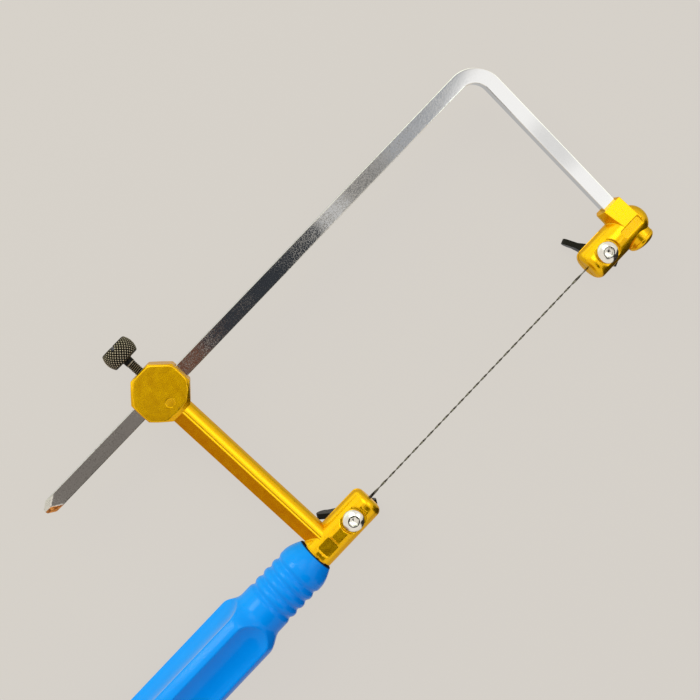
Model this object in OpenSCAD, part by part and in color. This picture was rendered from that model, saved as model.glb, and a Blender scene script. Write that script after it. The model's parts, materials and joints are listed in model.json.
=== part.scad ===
// Adjustable fret saw, lying on its back.
// An L-shaped flat bar slides through the sleeve of a cast arm and is locked there by a thumb screw.
// A spiral blade is held between a split clamp on the arm and a split clamp on the bar's leg.
// Sketch axes: X along the blade from handle to tip, Y from the blade to the bar, Z to the front.

/* [Blade] */
// Free length of the blade between the two clamps
blade_free = 114; // [100:1:140]
// Width of the blade's plain ends
blade_w = 1.1; // [0.8:0.1:2]
// Thickness of the blade's plain ends
blade_t = 0.5; // [0.3:0.05:0.6]
// Width of the twisted strip
spiral_w = 0.95; // [0.6:0.05:1.6]
// Thickness of the twisted strip
spiral_t = 0.45; // [0.3:0.05:0.6]
// Length of one full turn of the twist
spiral_pitch = 8; // [5:0.5:14]
// Untwisted length outside each clamp
blade_plain = 8; // [4:0.5:14]

/* [Frame bar] */
// Width of the flat bar, in the plane of the saw
bar_w = 5.4; // [5:0.1:8]
// Thickness of the flat bar
bar_t = 4; // [3:0.1:5]
// Clear depth from the blade's axis to the bar's inner edge
throat = 77.4; // [60:0.2:110]
// Length of bar behind the arm's axis
bar_tail = 57.4; // [40:0.2:80]
// Inner radius of the bend
bend_r = 6.2; // [1:0.1:9]
// Length of the ground point at the free end
point_len = 6.6; // [2:0.1:8]
// Size of the blunt tip as a share of the point's base
point_blunt = 0.16; // [0.1:0.02:0.4]
// Diameter of the threaded stud on the leg's foot
stud_d = 4; // [3:0.1:4]

/* [Sliding arm] */
// Width of the octagonal sleeve across its flats
sleeve_af = 20; // [18:0.2:26]
// Thickness of the sleeve from front to back
sleeve_t = 12.6; // [11:0.2:18]
// Diameter of the sleeve's flat front and back faces
sleeve_face_d = 18.8; // [16:0.2:24]
// Distance from the bar's axis to the conical slope above the arm
slope_start = 8.5; // [7.5:0.1:8.9]
// Drop of that slope at the sleeve's edge
slope_drop = 1.3; // [0.5:0.1:2]
// Offset of that slope's axis from the sleeve's axis, toward the thumb screw
slope_shift = 3.1; // [2:0.1:5]
// Width of the arm
arm_w = 9; // [7:0.1:12]
// Height of the flat on the arm's outer edge
arm_edge = 1.6; // [0.8:0.1:3]
// Width of the cast bead along the arm's crest
bead_w = 0.6; // [0.4:0.1:1.2]
// Height of that bead above the arm
bead_h = 0.35; // [0.2:0.05:0.8]
// Distance of the bead from the arm's axis
bead_x = 0.35; // [0:0.05:1]
// Diameter of the ejector mark on the sleeve
mark_d = 3; // [1:0.1:4]
// Distance from the bar's axis to the ejector mark
mark_y = 4.6; // [3:0.1:6]
// Depth of the ejector mark
mark_depth = 0.15; // [0.1:0.05:0.4]

/* [Clamps] */
// Diameter of both clamp bodies
clamp_d = 12.6; // [11:0.2:16]
// Gap of the clamps' slits
slit = 0.8; // [0.7:0.05:1.2]
// Length of slit behind each clamp screw's axis
slit_back = 4.6; // [3:0.1:5]
// Rounding of the clamps' blade ends
clamp_round = 2.6; // [0.5:0.1:3]
// Length of the lower clamp in front of the arm's axis
post_front = 22.6; // [20:0.2:30]
// Length of the lower clamp behind the arm's axis
post_back = 4.9; // [4.8:0.1:7]
// Distance from the lower clamp's end to its screw
lower_grip = 9.6; // [7:0.1:12]
// Distance from the upper clamp's end to its screw
upper_grip = 8.1; // [7:0.1:9]
// Distance from the upper clamp's end to the leg's axis
leg_setback = 21.5; // [19:0.1:26]
// Length of the upper clamp past the leg's axis
upper_past = 7.7; // [7:0.1:12]
// Rounding of the upper clamp's closed end
upper_round = 5.8; // [2:0.1:6]
// Depth of the flats under the screw heads and nuts
seat_cut = 1.3; // [1.3:0.05:1.8]
// Rim of those flats around the larger of head and nut
seat_rim = 0.3; // [0.1:0.05:0.5]
// Depth of the flat along the lower clamp's crown
flat_depth = 0.25; // [0.1:0.05:0.4]
// Distance from the lower screw to that flat's end, toward the blade
flat_front = 5.6; // [4:0.1:6]
// Width of the sunk panel on that flat
panel_w = 5.2; // [3:0.1:6]
// Distance from the arm's axis to the panel's end, toward the handle
panel_back = 3; // [1:0.1:4]
// Distance from the arm's axis to the panel's other end
panel_front = 3.3; // [2:0.1:5]
// Corner radius of the panel's ends
panel_r = 1.2; // [0.5:0.1:1.5]
// Depth of the panels below the clamps' crowns
panel_depth = 0.6; // [0.45:0.05:0.8]
// Length of the bare plate sunk in the upper clamp
plate_len = 9; // [6:0.1:11]
// Width of that plate
plate_w = 3.6; // [2.5:0.1:4.5]
// Corner radius of that plate
plate_r = 0.9; // [0.3:0.1:1.2]
// Distance from the leg's axis to that plate's middle, toward the blade
plate_back = 0.9; // [0:0.1:2]

/* [Leg socket] */
// Height of the socket block above the blade's axis
block_h = 10.6; // [9:0.1:14]
// Wall of the block on the blade's side of the leg
block_in = 2.6; // [2:0.1:4]
// Wall of the block on the far side of the leg
block_out = 1.3; // [1:0.1:3]
// Wall of the block's rim in front of and behind the leg
block_face = 2; // [1.5:0.1:3]
// Height of the flat edge between the block's two slopes
block_edge = 2; // [1:0.1:4]
// Height of the leg's shoulder above the blade's axis
leg_foot = 3.4; // [2:0.1:5]
// Diameter of the nut that holds the leg
leg_nut_d = 10.6; // [9:0.1:12]
// Height of that nut
leg_nut_h = 2.6; // [2.2:0.1:5]
// Rounding of that nut's edge
leg_nut_round = 2.1; // [0.5:0.1:2.1]
// Closed end wall of that nut
leg_nut_wall = 0.6; // [0.6:0.1:1.6]
// Height of the boss under that nut above the clamp body
boss_h = 0.3; // [0.3:0.1:1.5]
// Diameter of that boss
boss_d = 10.4; // [8:0.1:12]

/* [Clamp screws and wing nuts] */
// Thread diameter of the clamp screws
screw_d = 4; // [3:0.1:5]
// Diameter of the screw heads
head_d = 8; // [7:0.1:8.5]
// Height of the screw heads' straight edge
head_edge = 1.4; // [0.6:0.1:2]
// Height of the dome on the screw heads
head_dome = 1.5; // [1:0.1:2]
// Width across flats of the hexagon socket
socket_af = 3; // [2:0.1:3.5]
// Depth of the hexagon socket
socket_depth = 1.6; // [1:0.1:2]
// Rim of the socket's round mouth beyond the hexagon's corners
socket_rim = 0.35; // [0.1:0.05:0.5]
// Depth of the socket's round mouth
socket_mouth = 0.4; // [0.2:0.05:0.6]
// Length of thread past the wing nut's hub
thread_past = 1; // [0.5:0.1:3]
// Diameter of the wing nut's hub at its seat
hub_d = 9; // [7.5:0.1:9]
// Diameter of the hub's far end
hub_top_d = 7; // [6:0.1:7.4]
// Height of the wing nut's hub
hub_h = 4; // [3:0.1:6]
// Span of the wings from tip to tip
wing_span = 23; // [17:0.5:24]
// Height of the wings above the nut's seat
wing_h = 10.4; // [8:0.1:13]
// Room between the wings and the clamp's crown
wing_clear = 0.5; // [0.3:0.1:1]
// Thickness of the wings
wing_t = 2.1; // [1.6:0.1:3]
// Thickness of the wings' flare at the hub's axis
wing_root = 5.6; // [3.2:0.1:5.6]
// Distance from the hub's axis to that flare's end
wing_neck = 7; // [6:0.1:8]
// Radius of the round wing tips
wing_tip_r = 2.6; // [2:0.1:3]
// Turn of the lower wing nut
lower_wing_turn = -33; // [-90:1:90]
// Turn of the upper wing nut
upper_wing_turn = 112; // [0:1:180]

/* [Thumb screw] */
// Thread diameter of the thumb screw
thumb_d = 3.5; // [3:0.1:5]
// Diameter of the knurled ball that the head is cut from
thumb_head_d = 12; // [10.5:0.1:14]
// Length of the knurled head
thumb_head_h = 6.8; // [5:0.1:9]
// Bare length between sleeve and head
thumb_gap = 6; // [2:0.1:10]
// Width of the driver slot
slot_w = 1.3; // [0.8:0.1:2]
// Depth of the driver slot
slot_depth = 1.3; // [0.8:0.1:2]

/* [Handle] */
// Length of the handle
handle_len = 112; // [90:1:140]
// Diameter of the handle at the clamp
nose_d = 14; // [13:0.2:16]
// Length of the conical nose
nose_len = 6.6; // [5:0.1:9]
// Fullness of that nose, with 1 for a straight cone
nose_full = 1.6; // [1:0.1:2.4]
// Diameter of the grooved neck
neck_d = 18.8; // [18:0.1:22]
// Distance from the handle's front to the shoulder
neck_len = 28.4; // [27:0.1:36]
// Length of the shoulder
shoulder_len = 7.6; // [5:0.1:10]
// Diameter of the handle's body over its ridges
body_d = 24.6; // [23:0.1:30]
// Number of grooves on the neck
groove_count = 4; // [0:1:4]
// Distance from the handle's front to the first groove
groove_start = 10; // [9:0.1:12]
// Spacing of the grooves
groove_pitch = 4.15; // [3:0.05:4.5]
// Depth of the grooves
groove_depth = 0.55; // [0.2:0.05:0.9]
// Radius of the grooves' round bottoms
groove_r = 0.9; // [0.6:0.05:1.4]
// Number of flutes
flute_count = 4; // [3:1:6]
// Turn of the first flute from the front, toward the bar
flute_turn = 78; // [0:1:90]
// Radius of the round cutter that makes a flute
flute_r = 16; // [12:0.5:24]
// Depth of the flutes below the ridges
flute_depth = 3.6; // [2:0.1:5]
// Distance from the handle's front to the flutes' round tops
flute_start = 28.8; // [28:0.1:40]
// Plain length between the flutes and the handle's end
butt_plain = 12; // [9:0.5:20]
// Length of the rounded butt
butt_len = 7; // [3:0.5:8]
// Diameter of the flat at the butt's end
butt_d = 12; // [6:0.5:16]
// Diameter of the tang inside the handle
tang_d = 9; // [7:0.1:10]
// Length of the tang inside the handle
tang_len = 42; // [25:1:60]
// Shadow gap between clamp and handle
handle_gap = 0.6; // [0.3:0.1:1]

/* [Fits] */
// Clearance on each side of the bar in its sleeve
bar_clear = 0.15; // [0.1:0.05:0.3]
// Radial clearance of threads and turning pieces
turn_clear = 0.05; // [0.02:0.01:0.1]
// Gap under the wing nuts and at the thumb screw's tip
seat_gap = 0.1; // [0.05:0.05:0.3]
// Clearance of pieces that are fixed together
fixed_clear = 0.05; // [0.02:0.01:0.1]
// Gap between the blade's ends and the clamp screws
blade_end_gap = 0.3; // [0.2:0.1:0.8]

/* [Hidden] */
$fn = 64;
// Length by which a cut runs past the face that it opens
cut = 1;
// Slices in one turn of the blade's twist
twist_steps = 12;
gold = "goldenrod";
plated = "gainsboro";
blackened = "#2b2b2e";

// Lengths along the blade's axis, from the arm's axis
upper_x = post_front + blade_free;
leg_x = upper_x + leg_setback;
upper_len = leg_setback + upper_past;
lower_screw_x = post_front - lower_grip;
upper_screw_x = upper_x + upper_grip;
handle_x = -post_back - handle_gap;

// Heights above the blade's axis
bar_y = throat + bar_w / 2;
sleeve_top = bar_y + sleeve_af / 2;
thumb_top = sleeve_top + thumb_gap + thumb_head_h;
boss_y = clamp_d / 2 + boss_h;
stud_end = boss_y + leg_nut_h - leg_nut_wall - fixed_clear;

// Depths from the saw's middle plane
clamp_r = clamp_d / 2;
seat_z = clamp_r - seat_cut;
nut_z = seat_z + seat_gap;
block_z = bar_t / 2 + block_face;
body_r = body_d / 2;

// The row's origin lies below the middle of the saw, on the plane under its lowest points
low_z = max(nut_z + wing_h, body_r);
origin_x = (leg_x + upper_past + handle_x - handle_len) / 2;
origin_y = (thumb_top - max(body_r, boss_y + leg_nut_h)) / 2;

module placed() {
    translate([-origin_x, -origin_y, low_z]) children();
}

// Turns a drawing in the YZ plane and its height into a solid along X
module along_x() {
    rotate([90, 0, 90]) children();
}

// Turns a drawing in the XZ plane and its height into a solid along -Y
module along_minus_y() {
    rotate([90, 0, 0]) children();
}

// Round bar from z = 0, with its far edge rounded
module rounded_bar(d, len, edge) {
    rotate_extrude() {
        square([d / 2 - edge, len]);
        square([d / 2, len - edge]);
        intersection() {
            translate([d / 2 - edge, len - edge]) circle(edge);
            square([d / 2, len]);
        }
    }
}

// Flat drawing of a rectangle with round corners, centred on the origin
module rounded_rectangle(len, wide, r) {
    square([len - 2 * r, wide], center = true);
    square([len, wide - 2 * r], center = true);
    for (sx = [-1, 1], sy = [-1, 1])
        translate([sx * (len / 2 - r), sy * (wide / 2 - r)]) circle(r);
}

// Screw hole through a clamp, with flats for the head and the wing nut
module screw_cuts(x) {
    translate([x, 0, 0]) {
        cylinder(h = clamp_d + 2 * cut, d = screw_d + 2 * fixed_clear, center = true);
        for (side = [0, 1])
            mirror([0, 0, side]) translate([0, 0, seat_z])
                cylinder(h = clamp_r, d = max(head_d, hub_d) + 2 * seat_rim);
    }
}

// Slit that lets a clamp close on the blade's end; x is the clamp's open end, dir points into the clamp
module slit_cut(x, dir, len) {
    translate([x + dir * (len - cut) / 2, 0, 0]) cube([len + cut, clamp_d + 2 * cut, slit], center = true);
}

// Disc with the sleeve's thickness, round faces of radius r and a conical slope out from each
module sloped_disc(r, run) {
    half_t = sleeve_t / 2;
    rotate_extrude()
        polygon([[0, -half_t], [r, -half_t], [r + run, 0], [r, half_t], [0, half_t]]);
}

// Octagonal sleeve with turned edges and a conical slope down to the arm on both faces
module sleeve() {
    sides = 8;
    half_side = 180 / sides;
    half_t = sleeve_t / 2;
    slope_run = half_t * (sleeve_af / 2 - slope_start) / slope_drop;
    difference() {
        intersection() {
            rotate(half_side)
                cylinder(h = sleeve_t, d = sleeve_af / cos(half_side), center = true, $fn = sides);
            sloped_disc(sleeve_face_d / 2, half_t);
            translate([0, slope_shift, 0]) sloped_disc(slope_start + slope_shift, slope_run);
        }
        translate([0, -mark_y, half_t - mark_depth]) cylinder(h = cut, d = mark_d);
    }
}

// Section of the arm: round toward the blade's tip, two flats toward the handle
module arm_section() {
    r = arm_w / 2;
    intersection() {
        circle(r);
        polygon([[0, r], [-r, arm_edge / 2], [-r, -arm_edge / 2], [0, -r], [arm_w, -r], [arm_w, r]]);
    }
}

module arm_casting() {
    flat_len = post_back + lower_screw_x + flat_front;
    color(gold) placed() difference() {
        union() {
            translate([0, bar_y, 0]) sleeve();
            translate([0, bar_y - slope_start, 0]) along_minus_y()
                linear_extrude(bar_y - slope_start) arm_section();
            translate([bead_x - bead_w / 2, 0, arm_w / 4])
                cube([bead_w, bar_y - slope_start, arm_w / 4 + bead_h]);
            translate([-post_back, 0, 0]) along_x()
                rounded_bar(clamp_d, post_front + post_back, clamp_round);
            translate([handle_x - tang_len, 0, 0]) along_x()
                cylinder(h = tang_len + handle_gap + post_back, d = tang_d);
        }
        translate([0, bar_y, 0])
            cube([2 * sleeve_af, bar_w + 2 * bar_clear, bar_t + 2 * bar_clear], center = true);
        translate([0, sleeve_top + cut, 0]) along_minus_y()
            cylinder(h = sleeve_af / 2 + cut, d = thumb_d + 2 * turn_clear);
        slit_cut(post_front, -1, lower_grip + slit_back);
        screw_cuts(lower_screw_x);
        translate([-post_back - cut, -clamp_r, clamp_r - flat_depth])
            cube([flat_len + cut, clamp_d, clamp_r]);
        translate([(panel_front - panel_back) / 2, 0, clamp_r - panel_depth]) linear_extrude(clamp_r)
            rounded_rectangle(panel_front + panel_back, panel_w, panel_r);
    }
}

// L-shaped bar with a four-sided ground point at its free end and a stud on its leg
module frame_bar() {
    bend_x = leg_x - bar_w / 2 - bend_r;
    bend_y = bar_y - bar_w / 2 - bend_r;
    color(plated) placed() {
        translate([-bar_tail + point_len, bar_y - bar_w / 2, -bar_t / 2])
            cube([bar_tail - point_len + bend_x, bar_w, bar_t]);
        translate([-bar_tail + point_len, bar_y, 0]) intersection() {
            translate([-point_len, -bar_w / 2, -bar_t / 2]) cube([point_len, bar_w, bar_t]);
            rotate([90, 0, -90]) linear_extrude(point_len, scale = point_blunt)
                polygon([[bar_w, 0], [0, bar_t], [-bar_w, 0], [0, -bar_t]]);
        }
        translate([bend_x, bend_y, 0]) rotate_extrude(angle = 90)
            translate([bend_r, -bar_t / 2]) square([bar_w, bar_t]);
        translate([leg_x - bar_w / 2, leg_foot, -bar_t / 2]) cube([bar_w, bend_y - leg_foot, bar_t]);
        translate([leg_x, leg_foot, 0]) along_minus_y() cylinder(h = leg_foot + stud_end, d = stud_d);
    }
}

// Socket block: flat faces that leave the round clamp body in line with it, and two slopes toward the blade
module socket_block() {
    low = -bar_w / 2 - block_in;
    high = bar_w / 2 + block_out;
    touch = atan2(block_z, block_h) + acos(clamp_r / norm([block_z, block_h]));
    touch_y = clamp_r * cos(touch);
    touch_z = clamp_r * sin(touch);
    intersection() {
        translate([0, block_h, 0]) along_minus_y() linear_extrude(block_h)
            polygon([[low, -block_edge / 2], [-bar_w / 2, -clamp_r], [high, -clamp_r],
                [high, clamp_r], [-bar_w / 2, clamp_r], [low, block_edge / 2]]);
        translate([low, 0, 0]) along_x() linear_extrude(high - low)
            polygon([[0, -touch_z], [touch_y, -touch_z], [block_h, -block_z],
                [block_h, block_z], [touch_y, touch_z], [0, touch_z]]);
    }
}

module upper_clamp() {
    color(gold) placed() difference() {
        union() {
            translate([upper_x + upper_len / 2, 0, 0]) {
                along_x() rounded_bar(clamp_d, upper_len / 2, upper_round);
                mirror([1, 0, 0]) along_x() rounded_bar(clamp_d, upper_len / 2, clamp_round);
            }
            translate([leg_x, 0, 0]) socket_block();
            translate([leg_x, 0, 0]) along_minus_y() cylinder(h = boss_y, d = boss_d);
        }
        translate([leg_x - bar_w / 2 - fixed_clear, leg_foot - fixed_clear, -bar_t / 2 - fixed_clear])
            cube([bar_w + 2 * fixed_clear, block_h, bar_t + 2 * fixed_clear]);
        translate([leg_x, leg_foot, 0]) along_minus_y()
            cylinder(h = leg_foot + boss_y + cut, d = stud_d + 2 * fixed_clear);
        slit_cut(upper_x, 1, upper_grip + slit_back);
        screw_cuts(upper_screw_x);
        translate([leg_x - plate_back, 0, clamp_r - panel_depth]) linear_extrude(clamp_r)
            rounded_rectangle(plate_len, plate_w, plate_r);
    }
}

module leg_nut() {
    color(gold) placed() translate([leg_x, -boss_y, 0]) along_minus_y() difference() {
        rounded_bar(leg_nut_d, leg_nut_h, leg_nut_round);
        translate([0, 0, -cut])
            cylinder(h = leg_nut_h - leg_nut_wall + cut, d = stud_d + 2 * fixed_clear);
    }
}

// Spiral blade: a twisted strip between two plain flat ends
module blade() {
    low_end = lower_screw_x + screw_d / 2 + blade_end_gap;
    high_end = upper_screw_x - screw_d / 2 - blade_end_gap;
    twist_low = post_front + blade_plain;
    twist_len = blade_free - 2 * blade_plain;
    turns = twist_len / spiral_pitch;
    weld = 0.3;
    color("dimgray") placed() {
        translate([low_end, -blade_w / 2, -blade_t / 2])
            cube([twist_low + weld - low_end, blade_w, blade_t]);
        translate([upper_x - blade_plain - weld, -blade_w / 2, -blade_t / 2])
            cube([high_end - upper_x + blade_plain + weld, blade_w, blade_t]);
        translate([twist_low, 0, 0]) along_x()
            linear_extrude(twist_len, twist = -360 * turns, slices = ceil(turns * twist_steps), segments = 4)
                square([spiral_w, spiral_t], center = true);
    }
}

// Outline of the handle from its axis, with x as the radius and y as the distance from the front
function nose_r(t) = neck_d / 2 - (neck_d - nose_d) / 2 * pow(1 - t, nose_full);
function shoulder_r(t) = neck_d / 2 + (body_r - neck_d / 2) * (1 - cos(180 * t)) / 2;
function handle_outline() = concat(
    [[0, 0]],
    [for (t = [0:1 / 6:1]) [nose_r(t), nose_len * t]],
    [for (t = [0:1 / 8:1]) [shoulder_r(t), neck_len + shoulder_len * t]],
    [for (a = [0:15:90]) [butt_d / 2 + (body_r - butt_d / 2) * cos(a), handle_len - butt_len * (1 - sin(a))]],
    [[0, handle_len]]);

// Round-ended cutter for one flute, along +Z
module flute_cutter() {
    floor_r = body_r - flute_depth;
    mid_shoulder = 0.5;
    rise = shoulder_r(mid_shoulder) - floor_r;
    run = sqrt(2 * flute_r * rise - rise * rise);
    out = sqrt(2 * flute_r * flute_depth - flute_depth * flute_depth);
    first = flute_start + run;
    last = handle_len - butt_plain - out;
    translate([0, floor_r + flute_r, first]) {
        cylinder(h = last - first, r = flute_r);
        sphere(flute_r);
        translate([0, 0, last - first]) sphere(flute_r);
    }
}

module handle() {
    color("dodgerblue") placed() translate([handle_x, 0, 0]) mirror([1, 0, 0]) along_x() difference() {
        rotate_extrude() difference() {
            polygon(handle_outline());
            for (i = [0:1:groove_count - 1])
                translate([neck_d / 2 - groove_depth + groove_r, groove_start + i * groove_pitch])
                    circle(groove_r);
        }
        for (i = [0:flute_count - 1]) rotate(-flute_turn + i * 360 / flute_count) flute_cutter();
        translate([0, 0, -cut]) cylinder(h = tang_len + cut + fixed_clear, d = tang_d + 2 * fixed_clear);
    }
}

module thumb_screw() {
    shank_y = bar_y + bar_w / 2 + seat_gap;
    color(blackened) placed() translate([0, thumb_top, 0]) along_minus_y() difference() {
        union() {
            cylinder(h = thumb_top - shank_y, d = thumb_d);
            intersection() {
                cylinder(h = thumb_head_h, d = thumb_head_d);
                translate([0, 0, thumb_head_h / 2]) sphere(d = thumb_head_d);
            }
        }
        cube([slot_w, thumb_head_d + 2 * cut, 2 * slot_depth], center = true);
    }
}

// Socket screw through a clamp, with its head to the front
module clamp_screw(x) {
    thread_len = 2 * seat_z + seat_gap + hub_h + thread_past;
    socket_across = socket_af / cos(30);
    head_h = head_edge + head_dome;
    dome_r = (pow(head_d / 2, 2) + pow(head_dome, 2)) / (2 * head_dome);
    color("silver") placed() translate([x, 0, seat_z]) difference() {
        union() {
            intersection() {
                cylinder(h = head_h, d = head_d);
                translate([0, 0, head_h - dome_r]) sphere(dome_r);
            }
            translate([0, 0, -thread_len]) cylinder(h = thread_len + head_edge, d = screw_d);
        }
        translate([0, 0, head_h - socket_depth])
            cylinder(h = socket_depth + cut, d = socket_across, $fn = 6);
        translate([0, 0, head_h - socket_mouth])
            cylinder(h = socket_mouth + cut, d = socket_across + 2 * socket_rim);
    }
}

module lower_screw() {
    clamp_screw(lower_screw_x);
}

module upper_screw() {
    clamp_screw(upper_screw_x);
}

// Side view of one wing, rising outward from the hub to a round tip
module wing_side() {
    tip_x = wing_span / 2 - wing_tip_r;
    tip_y = wing_h - wing_tip_r;
    root_y = seat_cut - seat_gap + wing_clear;
    lean = atan2(tip_y, tip_x);
    polygon([[0, root_y], [hub_d / 2, root_y],
        [tip_x + wing_tip_r * sin(lean), tip_y - wing_tip_r * cos(lean)],
        [tip_x - wing_tip_r * sin(lean), tip_y + wing_tip_r * cos(lean)], [hub_d / 4, hub_h], [0, hub_h]]);
    translate([tip_x, tip_y]) circle(wing_tip_r);
}

// Plan of one wing, flared toward the hub
module wing_plan() {
    polygon([[0, -wing_root / 2], [wing_neck, -wing_t / 2], [wing_span, -wing_t / 2],
        [wing_span, wing_t / 2], [wing_neck, wing_t / 2], [0, wing_root / 2]]);
}

// Wing nut behind a clamp, on the end of its screw
module wing_nut(x, turn) {
    color(blackened) placed() translate([x, 0, -nut_z]) rotate(turn) mirror([0, 0, 1]) difference() {
        union() {
            cylinder(h = hub_h, d1 = hub_d, d2 = hub_top_d);
            for (side = [0, 180]) rotate(side) intersection() {
                linear_extrude(wing_h) wing_plan();
                rotate([90, 0, 0]) linear_extrude(2 * hub_d, center = true) wing_side();
            }
        }
        translate([0, 0, -cut]) cylinder(h = wing_h + 2 * cut, d = screw_d + 2 * turn_clear);
    }
}

module lower_wing_nut() {
    wing_nut(lower_screw_x, lower_wing_turn);
}

module upper_wing_nut() {
    wing_nut(upper_screw_x, upper_wing_turn);
}

arm_casting();
frame_bar();
upper_clamp();
leg_nut();
blade();
handle();
thumb_screw();
lower_screw();
upper_screw();
lower_wing_nut();
upper_wing_nut();
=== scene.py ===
import json
import math

import bmesh
import bpy
import numpy as np
from mathutils import Matrix, Vector

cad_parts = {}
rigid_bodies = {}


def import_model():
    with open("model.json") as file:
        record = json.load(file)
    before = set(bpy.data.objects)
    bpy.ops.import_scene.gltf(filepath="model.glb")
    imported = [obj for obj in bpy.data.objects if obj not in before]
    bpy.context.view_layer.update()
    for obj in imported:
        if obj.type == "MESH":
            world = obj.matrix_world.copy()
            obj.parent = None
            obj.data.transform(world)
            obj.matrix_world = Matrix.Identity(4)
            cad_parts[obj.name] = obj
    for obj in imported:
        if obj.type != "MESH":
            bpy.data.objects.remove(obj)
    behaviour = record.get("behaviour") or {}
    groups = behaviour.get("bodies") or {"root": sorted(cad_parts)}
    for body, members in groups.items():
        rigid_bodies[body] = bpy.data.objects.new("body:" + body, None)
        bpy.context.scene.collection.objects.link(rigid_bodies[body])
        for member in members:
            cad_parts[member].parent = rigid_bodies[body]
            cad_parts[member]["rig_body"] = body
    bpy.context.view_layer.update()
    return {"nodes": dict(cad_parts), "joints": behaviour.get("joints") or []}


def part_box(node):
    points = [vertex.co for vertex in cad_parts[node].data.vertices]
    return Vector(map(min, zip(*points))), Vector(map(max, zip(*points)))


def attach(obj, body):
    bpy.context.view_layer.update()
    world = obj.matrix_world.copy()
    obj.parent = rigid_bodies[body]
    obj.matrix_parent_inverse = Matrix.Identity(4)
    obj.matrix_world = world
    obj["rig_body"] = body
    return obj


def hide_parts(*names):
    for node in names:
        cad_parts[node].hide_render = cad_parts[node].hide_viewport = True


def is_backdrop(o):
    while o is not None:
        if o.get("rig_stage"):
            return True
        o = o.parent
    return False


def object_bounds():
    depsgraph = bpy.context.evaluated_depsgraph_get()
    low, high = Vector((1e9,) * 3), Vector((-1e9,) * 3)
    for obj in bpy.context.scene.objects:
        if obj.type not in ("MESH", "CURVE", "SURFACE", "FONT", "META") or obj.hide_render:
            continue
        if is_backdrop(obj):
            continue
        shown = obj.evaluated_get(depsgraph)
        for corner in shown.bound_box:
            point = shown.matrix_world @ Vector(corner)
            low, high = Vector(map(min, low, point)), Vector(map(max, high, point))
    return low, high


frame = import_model()
scene = bpy.context.scene
print("frame loaded:", len(frame["nodes"]), "nodes")

mm = 0.001
fullTurn = 2 * math.pi
jointPlace = {joint["name"]: joint["pos_m"] for joint in frame["joints"] if "pos_m" in joint}
sawOrigin = np.array([                              # arm's axis, blade's axis and the saw's middle plane
    jointPlace["thumb_screw_turn"][0],
    jointPlace["lower_wing_nut_turn"][1],
    jointPlace["thumb_screw_turn"][2],
])
xAxis, yAxis, zAxis = np.eye(3)


# A node's lowest and highest corner in saw millimetres
def sawBox(node):
    low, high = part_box(node)
    return (np.array(low) - sawOrigin) / mm, (np.array(high) - sawOrigin) / mm


# sRGB hex to linear: c / 12.92 below 0.04045, else ((c + 0.055) / 1.055) to the power 2.4
def toLinear(hexColour):
    share = np.array([int(hexColour[i:i + 2], 16) for i in (1, 3, 5)]) / 255
    linear = np.where(share <= 0.04045, share / 12.92, ((share + 0.055) / 1.055) ** 2.4)
    return (*linear.tolist(), 1.0)


# Material tools

# Links each input that is given as a socket and sets any other
def setInputs(tree, node, inputs):
    for key, value in inputs.items():
        if isinstance(value, bpy.types.NodeSocket):
            tree.links.new(value, node.inputs[key])
        else:
            node.inputs[key].default_value = value


def addNode(tree, kind, inputs=None, **settings):
    node = tree.nodes.new(kind)
    for key, value in settings.items():
        setattr(node, key, value)
    setInputs(tree, node, inputs or {})
    return node


def newMaterial(name):
    material = bpy.data.materials.new(name)
    material.use_nodes = True
    tree = material.node_tree
    shader = tree.nodes["Principled BSDF"]
    where = addNode(tree, "ShaderNodeTexCoord").outputs["Object"]
    return material, tree, shader, where


# Cycles per metre for a pattern whose grain is that many millimetres across
def perGrain(size):
    return 1 / (size * mm)


def addNoise(tree, where, grain, detail=2.0, roughness=0.5):
    return addNode(tree, "ShaderNodeTexNoise", {
        "Vector": where, "Scale": perGrain(grain), "Detail": detail, "Roughness": roughness})


# Value carried from one span to another and held at the ends
def addSpan(tree, value, source, target=(0.0, 1.0), **settings):
    return addNode(tree, "ShaderNodeMapRange", {
        "Value": value, "From Min": source[0], "From Max": source[1],
        "To Min": target[0], "To Max": target[1]}, **settings).outputs["Result"]


def addMath(tree, operation, first, second):
    return addNode(tree, "ShaderNodeMath", {0: first, 1: second}, operation=operation).outputs["Value"]


# Colour between two by a factor; a hex colour is made linear
def addMix(tree, factor, first, second):
    ends = [toLinear(end) if isinstance(end, str) else end for end in (first, second)]
    mix = addNode(tree, "ShaderNodeMix", {"Factor": factor, "A": ends[0], "B": ends[1]}, data_type="RGBA")
    return mix.outputs["Result"]


def addBump(tree, height, strength, depth, invert=False):
    return addNode(tree, "ShaderNodeBump", {
        "Height": height, "Strength": strength, "Distance": depth * mm}, invert=invert).outputs["Normal"]


# A piece's own number for each of its points
def addAttribute(tree, name):
    return addNode(tree, "ShaderNodeAttribute", attribute_name=name).outputs["Fac"]


noiseSpan = (0.3, 0.7)                              # where most values of a noise lie


# Materials

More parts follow.
